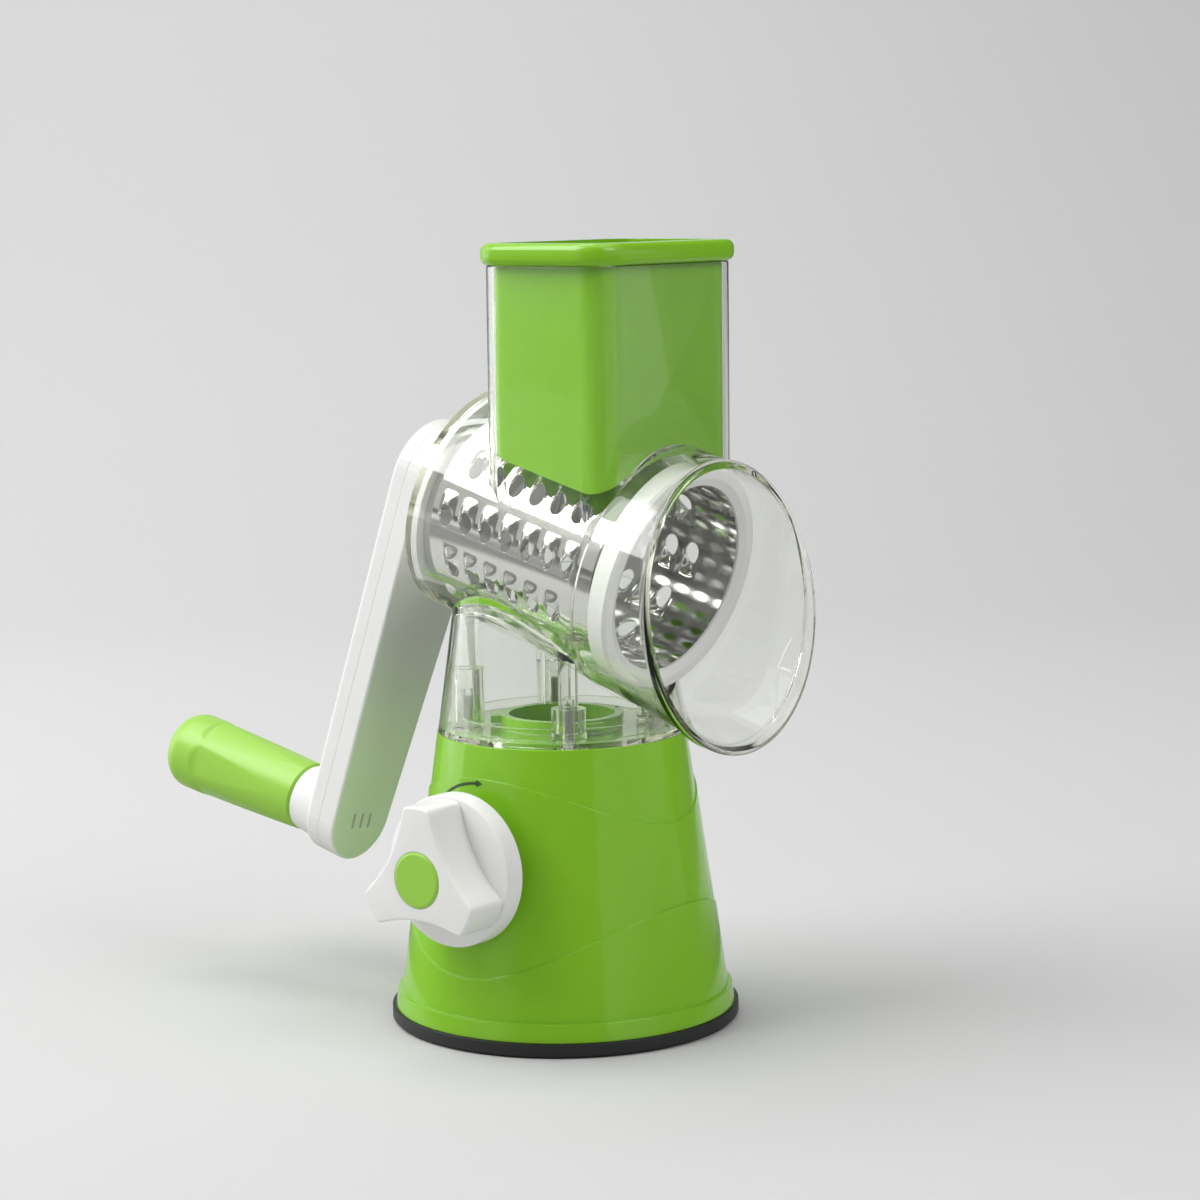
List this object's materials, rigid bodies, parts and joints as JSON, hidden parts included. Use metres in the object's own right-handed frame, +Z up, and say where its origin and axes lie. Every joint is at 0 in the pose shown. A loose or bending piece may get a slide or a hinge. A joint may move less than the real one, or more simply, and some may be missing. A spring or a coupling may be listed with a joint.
{
  "type": "rotary drum shredder",
  "caption": "Hand-cranked rotary shredder: a steel drum in a clear housing with feed chute, pusher and flared outlet, on a conical suction base with a lock knob.",
  "frame": {"origin": "middle of the suction base, on the surface it stands on", "axes": "+Z up; -Y the way the outlet looks, with the crank on the +Y side; -X the side of the suction knob"},
  "size_m": [0.144, 0.2542, 0.2775],
  "materials": {
    "green_plastic": "glossy lime green",
    "white_plastic": "glossy white",
    "clear_plastic": "clear",
    "drum_steel": "polished stainless steel",
    "screw_steel": "plain",
    "rubber": "matte black"
  },
  "bodies": {
    "base": {"base_shell": "green_plastic", "base_plate": "white_plastic", "base_screws": "screw_steel", "suction_pad": "rubber", "return_spring": "screw_steel"},
    "lock": {"cam_shaft": "white_plastic", "suction_knob": "white_plastic", "knob_screw": "screw_steel", "knob_cap": "green_plastic"},
    "stud": {"pad_stud": "white_plastic"},
    "drum_housing": {"housing": "clear_plastic", "skirt": "clear_plastic", "housing_screws": "screw_steel"},
    "crank": {"drive_spindle": "white_plastic", "crank_arm": "white_plastic", "crank_cover": "white_plastic", "crank_screw": "screw_steel", "grip_spindle": "screw_steel"},
    "grip": {"handle_grip": "green_plastic"},
    "drum": {"drum_shell": "drum_steel", "drum_front_ring": "white_plastic", "drum_rear_hub": "white_plastic"},
    "food_pusher": {"pusher": "green_plastic"}
  },
  "joints": [
    {"name": "suction_turn", "type": "hinge", "parent": "base", "child": "lock", "pos_m": [0, 0, 0.0637], "axis": [1, 0, 0], "range_deg": [0, 90], "deforming": ["suction_pad"]},
    {"name": "stud_lift", "type": "slide", "parent": "base", "child": "stud", "axis": [0, 0, 1], "range_m": [0, 0.0041], "deforming": ["suction_pad", "return_spring"]},
    {"name": "housing_lock", "type": "hinge", "parent": "base", "child": "drum_housing", "pos_m": [0, 0, 0.1041], "axis": [0, 0, 1], "range_deg": [0, 34]},
    {"name": "crank_spin", "type": "hinge", "parent": "drum_housing", "child": "crank", "pos_m": [0, 0, 0.176], "axis": [0, -0.9632, -0.2689], "continuous": true},
    {"name": "handle_spin", "type": "hinge", "parent": "crank", "child": "grip", "pos_m": [-0.01687, 0.09523, 0.06771], "axis": [-0.009, 0.9794, 0.2016], "continuous": true},
    {"name": "drum_slide", "type": "slide", "parent": "crank", "child": "drum", "axis": [0, -0.9632, -0.2689], "range_m": [0, 0.1]},
    {"name": "pusher_slide", "type": "slide", "parent": "drum_housing", "child": "food_pusher", "axis": [0, 0, 1], "range_m": [0, 0.08]}
  ],
  "couplings": [
    {"joint": "stud_lift", "follows": "suction_turn", "m_per_rad": 0.0025465}
  ]
}
